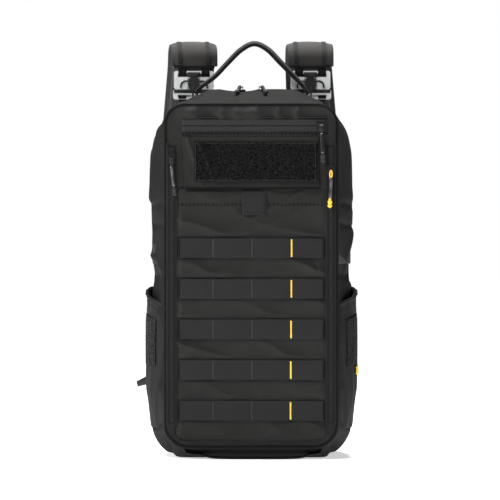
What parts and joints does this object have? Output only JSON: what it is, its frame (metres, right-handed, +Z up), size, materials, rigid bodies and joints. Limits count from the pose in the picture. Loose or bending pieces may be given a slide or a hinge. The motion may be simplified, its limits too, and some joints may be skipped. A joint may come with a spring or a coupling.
{
  "type": "trauma backpack",
  "caption": "Black medical backpack that opens forward at a zipper, with a fold-down webbing front panel, a loop-faced flap, side pockets and quick-release shoulder straps.",
  "frame": {"origin": "on the ground under the pack, at the middle of its width, on the flat of the base", "axes": "+Z up; -Y out of the front face with the webbing rows; +X to the right seen from the front"},
  "size_m": [0.286, 0.2105, 0.536],
  "materials": {
    "pack_cloth": "matte coated nylon weave",
    "base_cloth": "matte heavy coated weave",
    "webbing": "ribbed nylon webbing",
    "loop_fabric": "napped loop pile",
    "mesh_fabric": "open mesh",
    "padded_cloth": "matte weave over foam",
    "zip_tape": "coated zipper tape with a nylon coil",
    "yellow_thread": "bonded thread",
    "yellow_cloth": "woven tab",
    "black_thread": "bonded thread",
    "frame_plastic": "matte sheet",
    "black_metal": "semi-gloss black",
    "pull_plastic": "glossy tube over cord",
    "buckle_metal": "bead-blasted",
    "buckle_plastic": "fine grain"
  },
  "bodies": {
    "pack_body": {"rear_side_gusset_left": "pack_cloth", "rear_side_gusset_right": "pack_cloth", "rear_top_gusset": "pack_cloth", "base_boot": "base_cloth", "back_panel": "pack_cloth", "main_zip_tape_rear": "zip_tape", "frame_sheet": "frame_plastic", "inner_loop_panel": "loop_fabric", "back_pads": "padded_cloth", "buckle_anchor_webbing": "webbing", "lower_anchor_tabs": "webbing", "handle_anchors": "webbing", "bottom_handle": "webbing"},
    "main_lid": {"front_side_gusset_left": "pack_cloth", "front_side_gusset_right": "pack_cloth", "front_top_gusset": "pack_cloth", "front_frame": "pack_cloth", "pocket_divider": "pack_cloth", "main_zip_tape_front": "zip_tape", "inner_mesh_pockets": "mesh_fabric", "organiser_loops": "webbing", "side_pocket_left": "pack_cloth", "side_pocket_right": "pack_cloth", "side_loop_patches": "loop_fabric", "side_webbing": "webbing", "side_label_tab": "yellow_cloth", "front_zip_tapes": "zip_tape", "upper_zip_tape": "zip_tape"},
    "front_panel": {"front_panel_cloth": "pack_cloth", "webbing_rows": "webbing", "bar_tacks_yellow": "yellow_thread", "bar_tacks_black": "black_thread"},
    "pull_tab": {"front_pull_tab": "webbing"},
    "flap": {"flap_cloth": "pack_cloth", "flap_loop_field": "loop_fabric"},
    "carry_handle": {"carry_handle": "webbing"},
    "slider_left": {"zip_slider_left": "black_metal"},
    "pull_left": {"zip_pull_left": "pull_plastic"},
    "slider_right": {"zip_slider_right": "black_metal"},
    "pull_right": {"zip_pull_right": "pull_plastic"},
    "slider_upper": {"zip_slider_upper": "black_metal"},
    "pull_upper": {"zip_pull_upper": "pull_plastic"},
    "slider_main_left": {"zip_slider_main_left": "black_metal"},
    "pull_main_left": {"zip_pull_main_left": "pull_plastic"},
    "slider_main_right": {"zip_slider_main_right": "black_metal"},
    "pull_main_right": {"zip_pull_main_right": "pull_plastic"},
    "strap_left": {"strap_pad_left": "padded_cloth", "ladder_lock_left": "buckle_plastic", "lower_webbing_left": "webbing", "buckle_plate_left": "buckle_metal", "buckle_socket_left": "buckle_plastic"},
    "latch_left": {"release_latch_left": "buckle_plastic"},
    "sternum_left": {"sternum_strap_left": "webbing"},
    "strap_right": {"strap_pad_right": "padded_cloth", "ladder_lock_right": "buckle_plastic", "lower_webbing_right": "webbing", "buckle_plate_right": "buckle_metal", "buckle_socket_right": "buckle_plastic"},
    "latch_right": {"release_latch_right": "buckle_plastic"},
    "sternum_right": {"sternum_strap_right": "webbing"}
  },
  "joints": [
    {"name": "lid_fold", "type": "hinge", "parent": "pack_body", "child": "main_lid", "pos_m": [0, -0.08, 0.018], "axis": [1, 0, 0], "range_deg": [0, 90]},
    {"name": "front_panel_fold", "type": "hinge", "parent": "main_lid", "child": "front_panel", "pos_m": [0, -0.082, 0.025], "axis": [-1, 0, 0], "range_deg": [-90, 0]},
    {"name": "pull_tab_lift", "type": "hinge", "parent": "front_panel", "child": "pull_tab", "pos_m": [0.0045, -0.0806, 0.338], "axis": [1, 0, 0], "range_deg": [-40, 0]},
    {"name": "flap_lift", "type": "hinge", "parent": "main_lid", "child": "flap", "pos_m": [0, -0.0819, 0.404], "axis": [1, 0, 0], "range_deg": [-150, 0]},
    {"name": "handle_fold", "type": "hinge", "parent": "pack_body", "child": "carry_handle", "pos_m": [0, 0.041, 0.4685], "axis": [1, 0, 0], "range_deg": [0, 65]},
    {"name": "slider_left_run", "type": "slide", "parent": "main_lid", "child": "slider_left", "axis": [0, 0, -1], "range_m": [0, 0.323]},
    {"name": "pull_left_swing", "type": "hinge", "parent": "slider_left", "child": "pull_left", "pos_m": [-0.0996, -0.0876, 0.377], "axis": [1, 0, 0], "range_deg": [-150, 0]},
    {"name": "slider_right_run", "type": "slide", "parent": "main_lid", "child": "slider_right", "axis": [0, 0, -1], "range_m": [0, 0.308]},
    {"name": "pull_right_swing", "type": "hinge", "parent": "slider_right", "child": "pull_right", "pos_m": [0.0996, -0.0876, 0.362], "axis": [1, 0, 0], "range_deg": [-150, 0]},
    {"name": "slider_upper_run", "type": "slide", "parent": "main_lid", "child": "slider_upper", "axis": [-1, 0, 0], "range_m": [0, 0.16]},
    {"name": "pull_upper_swing", "type": "hinge", "parent": "slider_upper", "child": "pull_upper", "pos_m": [0.0875, -0.0876, 0.418], "axis": [1, 0, 0], "range_deg": [-150, 0]},
    {"name": "slider_main_left_run", "type": "slide", "parent": "main_lid", "child": "slider_main_left", "axis": [-1, 0, 0], "range_m": [0, 0.04]},
    {"name": "pull_main_left_swing", "type": "hinge", "parent": "slider_main_left", "child": "pull_main_left", "pos_m": [-0.014, 0.00399, 0.47112], "axis": [1, 0, 0], "range_deg": [-140, 0]},
    {"name": "slider_main_right_run", "type": "slide", "parent": "main_lid", "child": "slider_main_right", "axis": [1, 0, 0], "range_m": [0, 0.04]},
    {"name": "pull_main_right_swing", "type": "hinge", "parent": "slider_main_right", "child": "pull_main_right", "pos_m": [0.012, 0.00399, 0.47112], "axis": [1, 0, 0], "range_deg": [-140, 0]},
    {"name": "strap_left_swing", "type": "hinge", "parent": "pack_body", "child": "strap_left", "pos_m": [0, 0.0788, 0.4552], "axis": [1, 0, 0], "range_deg": [0, 20]},
    {"name": "latch_left_lift", "type": "slide", "parent": "strap_left", "child": "latch_left", "axis": [0, 0, 1], "range_m": [0, 0.005], "stiffness_N_per_m": 300},
    {"name": "sternum_left_slide", "type": "slide", "parent": "strap_left", "child": "sternum_left", "axis": [0, 0, 1], "range_m": [-0.025, 0.025]},
    {"name": "strap_right_swing", "type": "hinge", "parent": "pack_body", "child": "strap_right", "pos_m": [0, 0.0788, 0.4552], "axis": [1, 0, 0], "range_deg": [0, 20]},
    {"name": "latch_right_lift", "type": "slide", "parent": "strap_right", "child": "latch_right", "axis": [0, 0, 1], "range_m": [0, 0.005], "stiffness_N_per_m": 300},
    {"name": "sternum_right_slide", "type": "slide", "parent": "strap_right", "child": "sternum_right", "axis": [0, 0, 1], "range_m": [-0.025, 0.025]}
  ]
}
